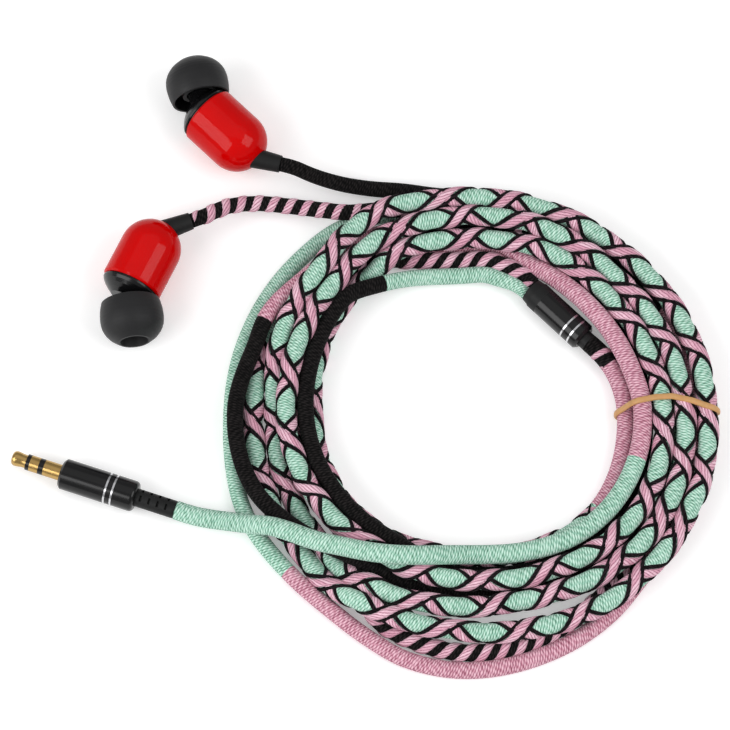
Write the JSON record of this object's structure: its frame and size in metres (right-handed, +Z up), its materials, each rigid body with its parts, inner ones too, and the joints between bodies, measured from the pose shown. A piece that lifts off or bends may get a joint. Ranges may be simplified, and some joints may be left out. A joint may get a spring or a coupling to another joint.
{
  "type": "wired earphones",
  "caption": "Wired in-ear earphones: two capsule earbuds with slip-on tips, a thread-wrapped cord wound in a hank and held by a rubber band, a splitter and a stereo jack plug.",
  "frame": {"origin": "on the surface that the earphones lie on, under the middle of the two earbuds (their box with ear tips and boots, without the cord)", "axes": "+Z up; +Y along the pair of earbuds, from the left one towards the right one; +X towards the cord's hank"},
  "size_m": [0.1524, 0.1399, 0.0138],
  "materials": {
    "shell": "gloss red lacquer",
    "front_cap": "gloss black",
    "nozzle_mesh": "fine mesh",
    "ear_tip": "satin silicone",
    "driver_frame": "moulded",
    "yoke": "stamped, zinc plated",
    "magnet": "nickel plated",
    "top_plate": "stamped",
    "voice_coil": "enamelled copper winding",
    "diaphragm": "formed film",
    "damping_felt": "felt",
    "terminal_board": "printed board",
    "wires": "enamelled wire",
    "cord_anchor": "moulded",
    "cord_boot": "satin",
    "right_lead": "thread wrapped",
    "right_coil": "thread wrapped",
    "left_lead": "thread wrapped, two colours",
    "left_coil": "thread wrapped",
    "main_coil": "thread wrapped and braided",
    "plug_lead": "thread wrapped and braided",
    "splitter_join": "moulded",
    "splitter_end": "matte black",
    "splitter_barrel": "gloss black",
    "splitter_rings": "bright",
    "splitter_core": "moulded over the solder joints",
    "splitter_neck": "moulded",
    "jack_tip": "gold plated",
    "jack_ring": "gold plated",
    "jack_sleeve": "gold plated",
    "jack_insulators": "moulded",
    "plug_core": "moulded",
    "plug_barrel": "gloss black",
    "plug_rings": "bright",
    "plug_relief": "satin",
    "rubber_band": "ochre, matte"
  },
  "bodies": {
    "earphones": {"right_shell": "shell", "right_front_cap": "front_cap", "right_nozzle_mesh": "nozzle_mesh", "right_driver_frame": "driver_frame", "right_yoke": "yoke", "right_magnet": "magnet", "right_top_plate": "top_plate", "right_damping_felt": "damping_felt", "right_terminal_board": "terminal_board", "right_wires": "wires", "right_cord_anchor": "cord_anchor", "right_cord_boot": "cord_boot", "left_shell": "shell", "left_front_cap": "front_cap", "left_nozzle_mesh": "nozzle_mesh", "left_driver_frame": "driver_frame", "left_yoke": "yoke", "left_magnet": "magnet", "left_top_plate": "top_plate", "left_damping_felt": "damping_felt", "left_terminal_board": "terminal_board", "left_wires": "wires", "left_cord_anchor": "cord_anchor", "left_cord_boot": "cord_boot", "right_lead": "right_lead", "right_coil": "right_coil", "left_lead": "left_lead", "left_coil": "left_coil", "main_coil": "main_coil", "plug_lead": "plug_lead", "splitter_join": "splitter_join", "splitter_end": "splitter_end", "splitter_barrel": "splitter_barrel", "splitter_rings": "splitter_rings", "splitter_core": "splitter_core", "splitter_neck": "splitter_neck", "jack_tip": "jack_tip", "jack_ring": "jack_ring", "jack_sleeve": "jack_sleeve", "jack_insulators": "jack_insulators", "plug_core": "plug_core", "plug_barrel": "plug_barrel", "plug_rings": "plug_rings", "plug_relief": "plug_relief", "rubber_band": "rubber_band"},
    "right_tip": {"right_ear_tip": "ear_tip"},
    "left_tip": {"left_ear_tip": "ear_tip"},
    "right_cone": {"right_diaphragm": "diaphragm", "right_voice_coil": "voice_coil"},
    "left_cone": {"left_diaphragm": "diaphragm", "left_voice_coil": "voice_coil"}
  },
  "joints": [
    {"name": "right_tip_slide", "type": "slide", "parent": "earphones", "child": "right_tip", "axis": [-0.2309, 0.973, 0], "range_m": [0, 0.008]},
    {"name": "left_tip_slide", "type": "slide", "parent": "earphones", "child": "left_tip", "axis": [0.1201, -0.9928, 0], "range_m": [0, 0.008]},
    {"name": "right_cone_travel", "type": "slide", "parent": "earphones", "child": "right_cone", "axis": [-0.7114, 0.7028, 0], "range_m": [-0.00015, 0.00015], "stiffness_N_per_m": 200},
    {"name": "left_cone_travel", "type": "slide", "parent": "earphones", "child": "left_cone", "axis": [-0.4242, -0.9056, 0], "range_m": [-0.00015, 0.00015], "stiffness_N_per_m": 200}
  ]
}
